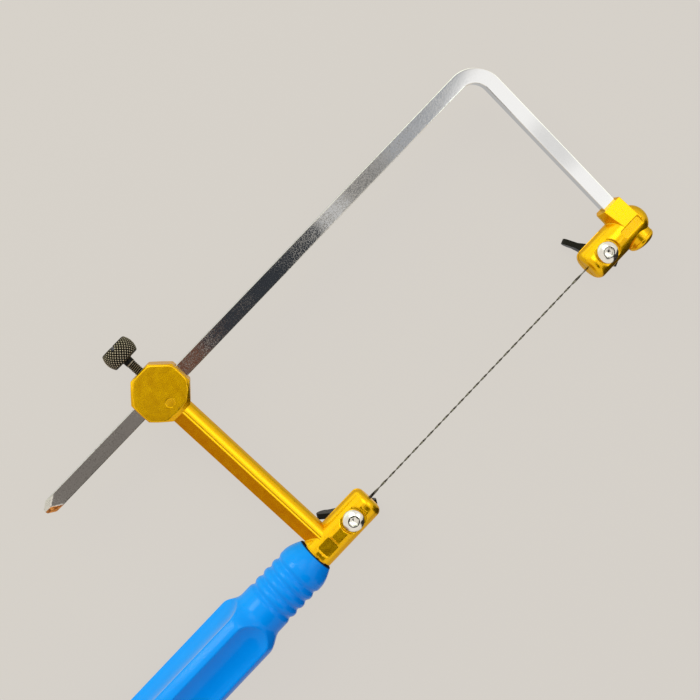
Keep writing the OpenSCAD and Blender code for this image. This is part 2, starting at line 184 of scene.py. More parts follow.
# Gold-lacquered zinc die casting, satin: broad soft reflections, slightly uneven colour, a faint cast grain
# and a few fine scratches; the clear lacquer pales the highlights
def goldCasting():
    look = dict(
        base="#F6C500", deep="#EAAD00", edge="#FFE08A", scratched="#CC9000", roughness=(0.23, 0.31),
        metal=0.95, lacquer=0.22, lacquerRoughness=0.08, mottle=2.6, grain=0.5, grainStrength=0.08,
        grainDepth=0.012, scratch=2.4, scratchWander=0.0012, scratchEdge=0.024, scratchPlaces=(0.52, 0.62))
    material, tree, shader, where = newMaterial("goldLacqueredDieCasting")
    mottle = addNoise(tree, where, look["mottle"]).outputs
    grain = addNoise(tree, where, look["grain"]).outputs
    wander = addNode(tree, "ShaderNodeMix", {
        "Factor": look["scratchWander"], "A": where, "B": mottle["Color"]}, data_type="VECTOR").outputs
    cracks = addNode(tree, "ShaderNodeTexVoronoi", {
        "Vector": wander["Result"], "Scale": perGrain(look["scratch"])}, feature="DISTANCE_TO_EDGE").outputs
    lines = addSpan(tree, cracks["Distance"], (0.0, look["scratchEdge"]), (1.0, 0.0))
    scratches = addMath(tree, "MULTIPLY", lines, addSpan(tree, mottle["Fac"], look["scratchPlaces"]))
    tint = addMix(tree, mottle["Fac"], look["deep"], look["base"])
    setInputs(tree, shader, {
        "Base Color": addMix(tree, scratches, tint, look["scratched"]),
        "Roughness": addSpan(tree, mottle["Fac"], noiseSpan, look["roughness"]),
        "Normal": addBump(tree, grain["Fac"], look["grainStrength"], look["grainDepth"]),
        "Metallic": look["metal"],
        "Specular Tint": toLinear(look["edge"]),
        "Coat Weight": look["lacquer"],
        "Coat Roughness": look["lacquerRoughness"],
    })
    return material


# Bright nickel plating on drawn flat steel: mirror-like with fine pits that end before the leg; one facet of
# the ground point has lost its plating and shows a streaky coppery layer
def platedSteel():
    look = dict(
        base="#DFDEDC", dull="#A8A6A2", copper="#E9A055", stained="#8F5426", roughness=(0.03, 0.07),
        pit=0.42, pitRoughness=0.6, pitEdge=(0.5, 0.68), pitStrength=0.2, pitDepth=0.02, patch=11.0,
        patchSpan=(0.35, 0.65), leastPits=0.35, cleanLeg=16.0, pointLen=6.4, halfWide=2.7, flatZ=0.95,
        streak=0.5, streakLong=0.12, streakSpan=(0.4, 0.6))
    material, tree, shader, where = newMaterial("nickelPlatedSteel")
    low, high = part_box("frame_bar")
    pits = addNoise(tree, where, look["pit"], roughness=look["pitRoughness"]).outputs["Fac"]
    patches = addNoise(tree, where, look["patch"]).outputs["Fac"]
    worn = addSpan(tree, patches, look["patchSpan"], (look["leastPits"], 1.0))
    place = addNode(tree, "ShaderNodeSeparateXYZ", {"Vector": where}).outputs
    clean = look["cleanLeg"] * mm
    offLeg = addSpan(tree, place["X"], (high[0] - clean, high[0] - clean / 2), (1.0, 0.0))
    patchy = addMath(tree, "MULTIPLY", addSpan(tree, pits, look["pitEdge"]), worn)
    pitting = addMath(tree, "MULTIPLY", patchy, offLeg)
    plating = addMix(tree, pitting, look["base"], look["dull"])
    normal = addNode(tree, "ShaderNodeNewGeometry").outputs["Normal"]
    slope = addNode(tree, "ShaderNodeSeparateXYZ", {"Vector": normal}).outputs["Z"]
    nearEnd = addMath(tree, "LESS_THAN", place["X"], low[0] + look["pointLen"] * mm)
    nearSide = addMath(tree, "LESS_THAN", place["Y"], high[1] - look["halfWide"] * mm)
    onPoint = addMath(tree, "MULTIPLY", nearEnd, nearSide)
    bared = addMath(tree, "MULTIPLY", onPoint, addMath(tree, "LESS_THAN", slope, look["flatZ"]))
    drawn = addNode(tree, "ShaderNodeVectorMath", {
        0: where, 1: (look["streakLong"], 1.0, 1.0)}, operation="MULTIPLY").outputs["Vector"]
    streaks = addNoise(tree, drawn, look["streak"], detail=1.0).outputs["Fac"]
    facet = addMix(tree, addSpan(tree, streaks, look["streakSpan"]), look["copper"], look["stained"])
    setInputs(tree, shader, {
        "Base Color": addMix(tree, bared, plating, facet),
        "Roughness": addSpan(tree, pits, noiseSpan, look["roughness"]),
        "Normal": addBump(tree, pitting, look["pitStrength"], look["pitDepth"], invert=True),
        "Metallic": 1.0,
    })
    return material


# Black-oxide steel: a near-black oxide skin with a dull oily sheen, rubbed through to bright steel where a
# piece's own worn attribute says so, as on the tips of the knurl
def blackenedSteel():
    look = dict(
        base="#0B0B0B", brown="#151210", bare="#C2B6A5", roughness=(0.26, 0.4), specular=0.1, patch=1.6,
        grain=0.2, grainStrength=0.3, grainDepth=0.01)
    material, tree, shader, where = newMaterial("blackOxideSteel")
    patch = addNoise(tree, where, look["patch"], detail=3.0).outputs["Fac"]
    grain = addNoise(tree, where, look["grain"]).outputs["Fac"]
    worn = addAttribute(tree, "worn")
    skin = addMix(tree, patch, look["base"], look["brown"])
    setInputs(tree, shader, {
        "Base Color": addMix(tree, worn, skin, look["bare"]),
        "Metallic": worn,
        "Roughness": addSpan(tree, patch, noiseSpan, look["roughness"]),
        "Normal": addBump(tree, grain, look["grainStrength"], look["grainDepth"]),
        "Specular IOR Level": look["specular"],
    })
    return material


# Bright zinc on a turned screw: clear white metal, a little uneven, with painted shade, a dark colour set
# by a per-point attribute of the piece, as round the socket's mouth where the recess lies in shade
def brightZinc():
    look = dict(base="#F4F3F0", dull="#DAD8D3", paintedShade="#2A2620", roughness=(0.1, 0.2), patch=0.9)
    material, tree, shader, where = newMaterial("brightZincScrew")
    patch = addNoise(tree, where, look["patch"], detail=4.0).outputs["Fac"]
    clean = addMix(tree, patch, look["dull"], look["base"])
    setInputs(tree, shader, {
        "Base Color": addMix(tree, addAttribute(tree, "paintedShade"), clean, look["paintedShade"]),
        "Roughness": addSpan(tree, patch, noiseSpan, look["roughness"]),
        "Metallic": 1.0,
    })
    return material


# Tempered blade steel: brownish grey with a dull sheen and brighter ground places
def temperedSteel():
    look = dict(base="#47433E", bright="#79746B", roughness=(0.12, 0.24), patch=0.7)
    material, tree, shader, where = newMaterial("temperedBladeSteel")
    patch = addNoise(tree, where, look["patch"], detail=3.0).outputs["Fac"]
    setInputs(tree, shader, {
        "Base Color": addMix(tree, patch, look["base"], look["bright"]),
        "Roughness": addSpan(tree, patch, noiseSpan, look["roughness"]),
        "Metallic": 1.0,
    })
    return material


# Injection-moulded polypropylene: saturated blue, a little uneven, with a soft gloss and a faint orange peel;
# painted shade, a near-black matt colour set by a per-point attribute of the piece, as in the seam at the
# casting
def mouldedPolypropylene():
    look = dict(
        base="#007BE6", deep="#0073DD", paintedShade="#04101A", roughness=(0.13, 0.2), ior=1.49, specular=0.14,
        cloud=7.0, peel=0.6, peelStrength=0.25, peelDepth=0.012)
    material, tree, shader, where = newMaterial("mouldedBluePolypropylene")
    cloud = addNoise(tree, where, look["cloud"], detail=3.0).outputs["Fac"]
    peel = addNoise(tree, where, look["peel"]).outputs["Fac"]
    paintedShade = addAttribute(tree, "paintedShade")
    clean = addMix(tree, cloud, look["deep"], look["base"])
    smooth = addSpan(tree, peel, noiseSpan, look["roughness"])
    setInputs(tree, shader, {
        "Base Color": addMix(tree, paintedShade, clean, look["paintedShade"]),
        "Roughness": addMath(tree, "MAXIMUM", smooth, paintedShade),
        "Normal": addBump(tree, peel, look["peelStrength"], look["peelDepth"]),
        "IOR": look["ior"],
        "Specular IOR Level": look["specular"],
    })
    return material


finishes = {
    "gold_casting": goldCasting(),
    "plated_steel": platedSteel(),
    "blackened_steel": blackenedSteel(),
    "bright_screw": brightZinc(),
    "blade_steel": temperedSteel(),
    "handle_plastic": mouldedPolypropylene(),
}
print("finishes made:", len(finishes))


# Mesh tools

# Closed tube from a (rows, columns, 3) grid: quads between rows, and a fan to each end row's middle
def tubeMesh(grid):
    rows, columns = grid.shape[:2]
    index = np.arange(rows * columns).reshape(rows, columns)
    beside = np.roll(index, -1, axis=1)
    quads = np.stack([index[:-1], beside[:-1], beside[1:], index[1:]], -1).reshape(-1, 4)
    first, last = rows * columns, rows * columns + 1
    startFan = np.stack([beside[0], index[0], np.full(columns, first)], -1)
    endFan = np.stack([index[-1], beside[-1], np.full(columns, last)], -1)
    points = np.concatenate([grid.reshape(-1, 3), [grid[0].mean(0), grid[-1].mean(0)]])
    triangles = np.concatenate([quads[:, [0, 1, 2]], quads[:, [0, 2, 3]], startFan, endFan])
    corner = points[triangles]
    volume = np.einsum("ij,ij->i", corner[:, 0], np.cross(corner[:, 1], corner[:, 2])).sum()
    faces = quads.tolist() + startFan.tolist() + endFan.tolist()
    if volume < 0:                                  # the grid ran the other way, so faces are turned
        faces = [face[::-1] for face in faces]
    return points, faces


def newObject(name, points, faces):
    mesh = bpy.data.meshes.new(name)
    mesh.from_pydata((sawOrigin + points * mm).tolist(), [], faces)
    mesh.validate()
    piece = bpy.data.objects.new(name, mesh)
    scene.collection.objects.link(piece)
    return piece


# Gives a piece its finish, smooth shading up to an angle, its body and the node that it stands for
def fit(piece, node, slot, sharpAngle):
    body = frame["nodes"][node]["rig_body"]
    piece.data.materials.clear()
    piece.data.materials.append(finishes[slot])
    piece.data.shade_smooth()
    piece.data.set_sharp_from_angle(angle=math.radians(sharpAngle))
    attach(piece, body)
    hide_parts(node)
    print(piece.name, "made:", len(piece.data.polygons), "faces on", body)
    return piece


# Stores a number for each point of a tube's grid, and none at its two end points, for the finish to read
def storeOnGrid(piece, name, values):
    numbers = np.concatenate([values.ravel(), [0, 0]]).astype(np.float32)
    piece.data.attributes.new(name, "FLOAT", "POINT").data.foreach_set("value", numbers)


# Even angles round a full turn
def roundAngles(columns):
    return np.linspace(0, fullTurn, columns, endpoint=False)


# Table whose columns are the given values, each spread to the same length
def asColumns(*parts):
    return np.stack(np.broadcast_arrays(*parts), -1)


# Rows of a turned grid, each part a number, a row or a block of rows, spread to all columns
def stackRows(columns, *parts):
    flat = np.zeros((1, columns))
    return np.concatenate([flat + part for part in parts])


# Points round an axis: base + height along the axis, radius at an angle from side toward axis x side
def roundAxis(radius, angle, height, base, axis, side):
    across = np.cross(axis, side)
    radius, angle, height = np.broadcast_arrays(radius, angle, height)
    return (base + (radius * np.cos(angle))[..., None] * side + (radius * np.sin(angle))[..., None] * across
            + height[..., None] * axis)


# Quarter ellipse from start to end: middle + (start - middle) times cosine + (end - middle) times sine
def quarterRound(start, middle, end, steps=8):
    turn = np.linspace(0, math.pi / 2, steps)[:, None]
    start, middle, end = np.array(start), np.array(middle), np.array(end)
    return middle + (start - middle) * np.cos(turn) + (end - middle) * np.sin(turn)


# Smallest of two arrays, blended over a width: the polynomial smooth minimum
def softMin(a, b, width):
    share = np.clip(0.5 + 0.5 * (b - a) / width, 0, 1)
    return b + (a - b) * share - width * share * (1 - share)


# Triangle wave of period 1 between 0 and 1
def triangle(t):
    return np.abs(2 * (t - np.floor(t + 0.5)))


def evaluated(piece):
    return piece.evaluated_get(bpy.context.evaluated_depsgraph_get())


# Coordinates of a piece's mesh with its modifiers
def shownPoints(piece):
    shown = evaluated(piece)
    flat = np.empty(len(shown.data.vertices) * 3, np.float32)
    shown.data.vertices.foreach_get("co", flat)
    return flat.reshape(-1, 3)


# Puts the mesh that a piece's modifiers make in place of its own
def applyModifiers(piece):
    old = piece.data
    piece.data = bpy.data.meshes.new_from_object(evaluated(piece))
    piece.modifiers.clear()
    bpy.data.meshes.remove(old)
    piece.data.name = piece.name


# Castings and wing nuts
castSize = dict(armCell=0.2, armPasses=5, clampCell=0.16, clampPasses=5, hold=0.07, sharp=60)
nutSize = dict(cell=0.16, passes=8, hold=0.04, sharp=60)
meshSize = dict(weld=0.001, relax=0.5, mostFaces=95000)     # quads, under 200,000 triangles


# Cast or forged piece: the node's solid is remeshed in small cells and smoothed, so that edges and corners
# round off, then each point moves back to the solid's surface by at most a set distance, so that flats and
# bores stay true
def softened(name, node, cell, passes, hold):
    source = frame["nodes"][node]
    mesh = source.data.copy()
    cleaner = bmesh.new()
    cleaner.from_mesh(mesh)
    bmesh.ops.remove_doubles(cleaner, verts=cleaner.verts, dist=meshSize["weld"] * mm)
    cleaner.to_mesh(mesh)
    cleaner.free()
    piece = bpy.data.objects.new(name, mesh)
    scene.collection.objects.link(piece)
    remesh = piece.modifiers.new("cells", "REMESH")     # even quads all over
    remesh.mode = "VOXEL"
    remesh.voxel_size = cell * mm
    relax = piece.modifiers.new("relax", "SMOOTH")
    relax.factor = meshSize["relax"]
    relax.iterations = passes
    applyModifiers(piece)
    before = shownPoints(piece)
    wrap = piece.modifiers.new("wrap", "SHRINKWRAP")
    wrap.target = source
    wrap.wrap_method = "NEAREST_SURFACEPOINT"
    step = shownPoints(piece) - before
    length = np.linalg.norm(step, axis=1, keepdims=True)
    step *= np.minimum(1, hold * mm / np.maximum(length, 1e-9))
    piece.modifiers.clear()
    piece.data.vertices.foreach_set("co", (before + step).astype(np.float32).ravel())
    piece.data.update()
    if len(piece.data.polygons) > meshSize["mostFaces"]:
        thin = piece.modifiers.new("thin", "DECIMATE")
        thin.ratio = meshSize["mostFaces"] / len(piece.data.polygons)
        applyModifiers(piece)
    return piece


fit(softened("armCasting", "arm_casting", castSize["armCell"], castSize["armPasses"], castSize["hold"]),
    "arm_casting", "gold_casting", castSize["sharp"])
fit(softened("upperClamp", "upper_clamp", castSize["clampCell"], castSize["clampPasses"], castSize["hold"]),
    "upper_clamp", "gold_casting", castSize["sharp"])


# Bead along the arm's crest with the shallow groove beside it, from the clamp post to the sleeve's slope
beadSize = dict(
    armR=4.5, land=0.42, sink=0.05, start=0.14, edgeR=0.16, bead=0.15, beadHalf=0.36, beadRise=0.06,
    groove=0.66, grooveHalf=0.32, grooveDepth=0.06, thin=50.0, end=80.0, underShare=0.8, foot=0.5,
    postEnd=3.6, sleeveGap=8.9, barY=80.1, steps=110, rows=60, sharp=60)


# Strip section: a round over the arm's own, one land higher, that comes down to it between two angles; a
# bell-shaped bead is added and a bell-shaped groove taken away, the near edge is a quarter round and the
# underside is in the arm
def makeBead():
    size = beadSize
    outer = size["armR"] + size["land"]
    startAngle = math.degrees(math.asin(size["start"] / outer))
    angle = np.radians(np.linspace(startAngle, size["end"], size["steps"]))
    fade = np.clip((np.degrees(angle) - size["thin"]) / (size["end"] - size["thin"]), 0, 1)
    radius = outer - (size["land"] + size["sink"]) * fade ** 2 * (3 - 2 * fade)
    x = radius * np.sin(angle)
    bead = size["beadRise"] * np.exp(-((x - size["bead"]) / size["beadHalf"]) ** 2)
    groove = size["grooveDepth"] * np.exp(-((x - size["groove"]) / size["grooveHalf"]) ** 2)
    top = asColumns(x, radius * np.cos(angle) + bead - groove)
    first, edgeR = top[0], size["edgeR"]
    edge = quarterRound(first - [edgeR, edgeR], first - [0, edgeR], first)[:-1]
    inside, back = size["underShare"] * radius[::-1], angle[::-1]
    under = asColumns(inside * np.sin(back), inside * np.cos(back))
    section = np.concatenate([edge, top, under, [edge[0] - [0, size["foot"]]]])
    y = np.linspace(size["postEnd"], size["barY"] - size["sleeveGap"], size["rows"])[:, None]
    return newObject("armBead", *tubeMesh(asColumns(section[:, 0], y, section[:, 1])))


fit(makeBead(), "arm_casting", "gold_casting", beadSize["sharp"])


# Sleeve plate: its rounded edge, wider than a circle toward most of its eight sides
plateSize = dict(
    front=6.312, sink=0.31, level=0.95, reach=(9.85, 9.85, 9.85, 9.3, 9.85, 9.85, 8.6, 9.3), power=24,
    edgeR=0.5, edgeSteps=10, foot=4.9, middleShare=0.04, rings=40, backR=0.4, columns=192, sharp=60)


# Cap whose outline is 1 over the p-norm of its eight side distances; its middle lies under the casting's face
# as a parabola of the share of the radius, and its rim is a quarter round
def makePlate():
    size = plateSize
    angle = roundAngles(size["columns"])
    facing = np.cos(angle[:, None] - roundAngles(len(size["reach"]))) / np.array(size["reach"])
    outline = (np.maximum(facing, 0) ** size["power"]).sum(1) ** (-1 / size["power"])
    share = np.linspace(size["middleShare"], 1, size["rings"])[:, None]
    face = size["front"] - size["sink"] * np.maximum(1 - share / size["level"], 0) ** 2
    edgeR, foot = size["edgeR"], size["foot"]
    rim = quarterRound((0, 0), (0, -edgeR), (edgeR, -edgeR), size["edgeSteps"])[1:]
    inner = outline - edgeR
    radius = stackRows(size["columns"], share * inner, inner + rim[:, :1], outline, size["backR"])
    height = stackRows(size["columns"], face, size["front"] + rim[:, 1:], foot, foot)
    base = np.array([0, beadSize["barY"], 0])
    return newObject("sleevePlate", *tubeMesh(roundAxis(radius, angle, height, base, zAxis, xAxis)))


fit(makePlate(), "arm_casting", "gold_casting", plateSize["sharp"])
for place in ("lower", "upper"):
    node = place + "_wing_nut"
    nut = softened(place + "WingNut", node, nutSize["cell"], nutSize["passes"], nutSize["hold"])
    fit(nut, node, "blackened_steel", nutSize["sharp"])


# Frame bar: a rounded rectangle carried along tail, bend and leg, cut by a growing diamond at its point
barSize = dict(
    wide=5.4, bendInner=6.2, pointLen=6.6, pointBlunt=0.16, pointReach=2.4, noDiamond=3.0, studD=4.0,
    legFoot=3.4, cornerPower=36, perSide=14, pointRows=60, bendRows=40, sharp=5)


# Radius of the bar's section at an angle: 1 over the p-norm of its side and diamond distances
def barRadius(angle, wide, thick, diamond, power):
    across, up = np.abs(np.cos(angle)), np.abs(np.sin(angle))
    sides = (2 * across / wide) ** power + (2 * up / thick) ** power
    point = ((across / wide + up / thick) / diamond) ** power
    return (sides + point) ** (-1 / power)


# Sweep: at each station the section's radius times cosine lies along the station's width, and its radius
# times sine along z; the bend is a quarter circle and the stud a circle
def makeBar():
    size = barSize
    low, high = sawBox("frame_bar")
    wide, thick = size["wide"], high[2] - low[2]
    barY, legX = high[1] - wide / 2, high[0] - wide / 2
    middleR = size["bendInner"] + wide / 2
    bendX, bendY = legX - middleR, barY - middleR
    corner = math.atan2(thick, wide)
    keyAngles = np.array([0, corner, math.pi / 2, math.pi - corner])
    keyAngles = np.concatenate([keyAngles, keyAngles + math.pi, [fullTurn]])
    ease = (1 - np.cos(np.linspace(0, math.pi, size["perSide"], endpoint=False))) / 2
    angle = (keyAngles[:-1, None] + np.diff(keyAngles)[:, None] * ease).ravel()
    growth = (1 - size["pointBlunt"]) / size["pointLen"]
    pointRun = np.linspace(0, size["pointReach"] * size["pointLen"], size["pointRows"])
    sweep = np.linspace(math.pi / 2, 0, size["bendRows"])
    foot, full = size["legFoot"], size["noDiamond"]
    stations = np.concatenate([                     # x, y, turn of the section's width, diamond's share, stud
        asColumns(low[0] + pointRun, barY, math.pi / 2, size["pointBlunt"] + growth * pointRun, 0),
        asColumns(bendX + middleR * np.cos(sweep), bendY + middleR * np.sin(sweep), sweep, full, 0),
        [[legX, foot, 0, full, 0], [legX, foot, 0, full, 1], [legX, low[1], 0, full, 1]],
    ])
    x, y, turn, diamond, isStud = (column[:, None] for column in stations.T)
    radius = barRadius(angle, wide, thick, diamond, size["cornerPower"])
    radius = np.where(isStud > 0, size["studD"] / 2, radius)
    side = radius * np.cos(angle)
    grid = asColumns(x + side * np.cos(turn), y + side * np.sin(turn), radius * np.sin(angle))
    return newObject("frameBar", *tubeMesh(grid))


fit(makeBar(), "frame_bar", "plated_steel", barSize["sharp"])


# Spiral blade: a flat strip with toothed edges, twisted between its plain ends
bladeSize = dict(
    plainLen=8.0, gripLow=7.3, gripHigh=5.8, endWide=1.1, endThick=0.5, stripWide=0.8, stripThick=0.32,
    pitch=8.0, toothPitch=0.8, toothDepth=0.13, toothFade=0.5, step=0.1, columns=16, power=5, sharp=40)


# Strip section: a superellipse whose half width is cut back by the teeth; its turn starts slowly along each
# plain end, as the square of the distance, and goes on evenly between them
def makeBlade():
    size = bladeSize
    low, high = sawBox("blade")
    x = np.linspace(low[0], high[0], int((high[0] - low[0]) / size["step"]))[:, None]
    plain, power = size["plainLen"], size["power"]
    twistLow = low[0] + size["gripLow"] + plain
    twistHigh = high[0] - size["gripHigh"] - plain
    along = np.clip(x, twistLow, twistHigh) - twistLow
    twisted = np.clip(np.minimum(x - twistLow, twistHigh - x) / size["toothFade"], 0, 1)
    lead = plain - np.clip(twistLow - x, 0, plain)
    lag = np.clip(x - twistHigh, 0, plain)
    turn = fullTurn * (along + lead ** 2 / (2 * plain) + lag - lag ** 2 / (2 * plain)) / size["pitch"]
    angle = roundAngles(size["columns"])
    tooth = size["toothDepth"] * triangle(along / size["toothPitch"]) * twisted
    slim = np.clip((lead - lag) / plain, 0, 1)      # the ends slim down to the strip outside the clamps
    wide = size["endWide"] + (size["stripWide"] - size["endWide"]) * slim - 2 * tooth
    thick = size["endThick"] + (size["stripThick"] - size["endThick"]) * slim
    across, up = 2 * np.abs(np.cos(angle)) / wide, 2 * np.abs(np.sin(angle)) / thick
    radius = (across ** power + up ** power) ** (-1 / power)
    a, b = radius * np.cos(angle), radius * np.sin(angle)
    grid = asColumns(x, a * np.cos(turn) - b * np.sin(turn), a * np.sin(turn) + b * np.cos(turn))
    return newObject("spiralBlade", *tubeMesh(grid))


fit(makeBlade(), "blade", "blade_steel", bladeSize["sharp"])


# Handle: one outline turned about the axis, with round-ended flutes cut into its body
gripSize = dict(
    noseD=14.0, noseLen=6.6, noseFull=1.6, neckD=18.8, neckLen=28.4, neckGap=0.2, shoulderLen=7.6, bodyD=24.6,
    bodyGap=0.5, grooves=4, grooveStart=10.0, groovePitch=4.15, grooveDepth=0.7, groovePower=1.5, flutes=4,
    fluteTurn=78.0, fluteR=16.0, fluteDepth=3.6, fluteStart=28.8, buttPlain=12.0, buttLen=7.0, buttD=12.0,
    boreD=9.1, boreLen=42.05, boreEdge=0.3, ridgeRound=0.4, noseRows=16, neckRows=110, shoulderRows=26,
    bodyRows=90, buttRows=16, columns=240, sharp=50)


# Neck radius: the neck less a raised cosine to a power at each groove, so that the ridges are full
def neckRadius(run):
    size = gripSize
    centres = size["grooveStart"] + size["groovePitch"] * np.arange(size["grooves"])
    off = np.minimum(np.abs(run[:, None] - centres).min(1) / size["groovePitch"], 0.5)
    wave = (1 + np.cos(fullTurn * off)) / 2
    return size["neckD"] / 2 - size["grooveDepth"] * wave ** size["groovePower"]


# Distance from the axis to a flute's surface: the near side of its cutter circle, which shrinks as a ball at
# both ends
def fluteRadius(run, angle, length):
    size = gripSize
    cutter, bodyR, depth = size["fluteR"], size["bodyD"] / 2, size["fluteDepth"]
    bed = bodyR - depth
    rise = (size["neckD"] / 2 + bodyR) / 2 - bed
    first = size["fluteStart"] + math.sqrt(2 * cutter * rise - rise ** 2)
    last = length - size["buttPlain"] - math.sqrt(2 * cutter * depth - depth ** 2)
    past = np.maximum(first - run, 0) + np.maximum(run - last, 0)
    pitch = fullTurn / size["flutes"]
    off = (angle - math.radians(size["fluteTurn"]) + pitch / 2) % pitch - pitch / 2
    reach = cutter ** 2 - past ** 2 - ((bed + cutter) * np.sin(off)) ** 2
    near = (bed + cutter) * np.cos(off) - np.sqrt(np.maximum(reach, 0))
    return np.where(reach > 0, near, 2 * bodyR)


# Turned outline: a nose that rises as a power, the grooved neck, a cosine shoulder, the body and a
# quarter-round butt; the radius is the soft minimum of this outline and the flutes, and the bore comes first
def makeHandle():
    size = gripSize
    low, high = sawBox("handle")
    length, bodyR, neckR = high[0] - low[0], size["bodyD"] / 2, size["neckD"] / 2
    noseT = np.linspace(0, 1, size["noseRows"])
    noseRise = (neckR - size["noseD"] / 2) * (1 - noseT) ** size["noseFull"]
    nose = asColumns(neckR - noseRise, size["noseLen"] * noseT)
    neckRun = np.linspace(size["noseLen"] + size["neckGap"], size["neckLen"], size["neckRows"])
    neck = asColumns(neckRadius(neckRun), neckRun)
    shoulderT = np.linspace(0, 1, size["shoulderRows"])[1:]
    shoulder = asColumns(neckR + (bodyR - neckR) * (1 - np.cos(math.pi * shoulderT)) / 2,
                         size["neckLen"] + size["shoulderLen"] * shoulderT)
    bodyStart, buttStart = size["neckLen"] + size["shoulderLen"] + size["bodyGap"], length - size["buttLen"]
    body = asColumns(bodyR, np.linspace(bodyStart, buttStart, size["bodyRows"]))
    buttR = size["buttD"] / 2
    butt = quarterRound((bodyR, buttStart), (buttR, buttStart), (buttR, length), size["buttRows"])[1:]
    outline = np.concatenate([nose, neck, shoulder, body, butt])
    angle = roundAngles(size["columns"])
    run = outline[:, 1:]
    outside = softMin(outline[:, :1], fluteRadius(run, angle, length), size["ridgeRound"])
    boreR, edge = size["boreD"] / 2, size["boreEdge"]
    bore = np.array([[boreR, size["boreLen"]], [boreR, edge], [boreR + edge, 0]])
    radius = stackRows(size["columns"], bore[:, :1], outside)
    run = np.concatenate([bore[:, 1:], run])
    base = np.array([high[0], 0, 0])
    grip = newObject("handle", *tubeMesh(roundAxis(radius, angle, run, base, -xAxis, zAxis)))
    # Painted shade: the bore and the front edge are coloured dark, as the seam with the casting lies in shade
    paintedShade = np.zeros(radius.shape)
    paintedShade[:len(bore) + 1] = 1                       # the bore and the front edge
    storeOnGrid(grip, "paintedShade", paintedShade)
    return grip


handle = fit(makeHandle(), "handle", "handle_plastic", gripSize["sharp"])
handle.visible_glossy = False                       # no blue shows in the gold


# Thumb screw: threaded shank and a diamond-knurled head, cut from a ball, with a driver slot
thumbSize = dict(
    headH=6.8, shankD=3.5, tipLen=0.3, threadPitch=0.7, threadDepth=0.3, plainLen=1.5, neckRound=0.25,
    edge=0.35, faceIn=0.3, faceMiddle=0.4, knurlCount=31, knurlDepth=0.4, knurlPower=0.8, rubbed=0.74,
    rubSoft=0.2, crestWear=0.7, crestDepth=0.1, slotWide=1.3, slotDepth=1.3, slotPast=1.0, columns=310,
    headRows=96, rowsPerTurn=8, sharp=38)


# Thread: the radius falls by a triangle wave of height and angle together, so that its crest is a helix
def threadRadius(height, angle, outer, depth, pitch):
    return outer - depth * triangle(height / pitch - angle / fullTurn + 0.5)


# Knurl: two sets of helical grooves at 45 degrees; a pyramid stands where both waves are high
def knurlHeight(height, angle, radius, count, power):
    around = angle * count / fullTurn
    upward = height * count / (fullTurn * radius)
    left = np.abs(np.sin(math.pi * (around + upward)))
    right = np.abs(np.sin(math.pi * (around - upward)))
    return np.minimum(left, right) ** power


# Turned rows from the tip up: the thread, the plain neck and a ball's radius less the knurl, which fades
# at both edges of the head; a box cuts the slot
def makeThumbScrew():
    size = thumbSize
    low, high = sawBox("thumb_screw")
    total, headR, shankR = high[1] - low[1], (high[0] - low[0]) / 2, size["shankD"] / 2
    headLow = total - size["headH"]
    angle = roundAngles(size["columns"])
    pitch, threadLen = size["threadPitch"], headLow - size["plainLen"]
    shankRun = np.linspace(size["tipLen"], threadLen, int(threadLen / pitch * size["rowsPerTurn"]))[:, None]
    fade = np.clip((threadLen - shankRun) / pitch, 0, 1)
    shank = threadRadius(shankRun, angle, shankR, size["threadDepth"] * fade, pitch)
    edge = size["edge"]
    upward = np.linspace(-1, 1, size["headRows"]) * size["headH"] / 2
    fromEnd = size["headH"] / 2 - np.abs(upward)
    ball = np.sqrt(headR ** 2 - upward ** 2) - edge * np.clip(1 - fromEnd / edge, 0, 1) ** 2
    headRun = (headLow + size["headH"] / 2 + upward)[:, None]
    reach = np.clip(fromEnd / (2 * edge), 0, 1)[:, None]
    pattern = knurlHeight(headRun, angle, headR, size["knurlCount"], size["knurlPower"])
    head = ball[:, None] - size["knurlDepth"] * reach * (1 - pattern)
    faceR, neckRound = ball[0] - size["faceIn"], size["neckRound"]
    columns = size["columns"]
    radius = stackRows(columns, shankR - size["threadDepth"], shank, shankR, shankR + neckRound, faceR, head,
                       faceR, size["faceMiddle"])
    run = stackRows(columns, 0, shankRun, headLow - neckRound, headLow, headLow, headRun, total, total)
    base = np.array([0, low[1], 0])
    screw = newObject("thumbScrew", *tubeMesh(roundAxis(radius, angle, run, base, yAxis, xAxis)))
    tips = np.clip((pattern - size["rubbed"]) / size["rubSoft"], 0, 1) * reach
    crests = size["crestWear"] * np.clip(1 - (shankR - shank) / size["crestDepth"], 0, 1) * (fade > 0)
    storeOnGrid(screw, "worn", stackRows(columns, 0, crests, 0, 0, 0, tips, 0, 0))
    signs = np.array([[i, j, k] for i in (-1, 1) for j in (-1, 1) for k in (-1, 1)])
    corners = signs * [size["slotWide"] / 2, size["slotDepth"], headR + size["slotPast"]] + [0, high[1], 0]
    sides = [[0, 1, 3, 2], [4, 6, 7, 5], [0, 4, 5, 1], [2, 3, 7, 6], [0, 2, 6, 4], [1, 5, 7, 3]]
    cutter = newObject("slotCutter", corners, sides)
    slot = screw.modifiers.new("slot", "BOOLEAN")
    slot.object = cutter
    slot.operation = "DIFFERENCE"
    applyModifiers(screw)
    bpy.data.objects.remove(cutter)
    return screw


fit(makeThumbScrew(), "thumb_screw", "blackened_steel", thumbSize["sharp"])


# Clamp screws: domed pan head with a hexagon socket in a round mouth, and a threaded shank
screwSize = dict(
    headEdge=1.4, headDome=1.5, edgeRound=0.25, seatRound=0.2, shankD=4.0, socketAf=3.0, socketDepth=1.6,
    coneR=0.3, coneDepth=0.5, mouthRim=0.35, mouthDepth=0.4, ring=0.24, lip=0.06, threadPitch=0.7,
    threadDepth=0.32, threadGap=0.1, tipLen=0.5, tipIn=0.6, domeRows=24, columns=96, rowsPerTurn=8, sharp=35)


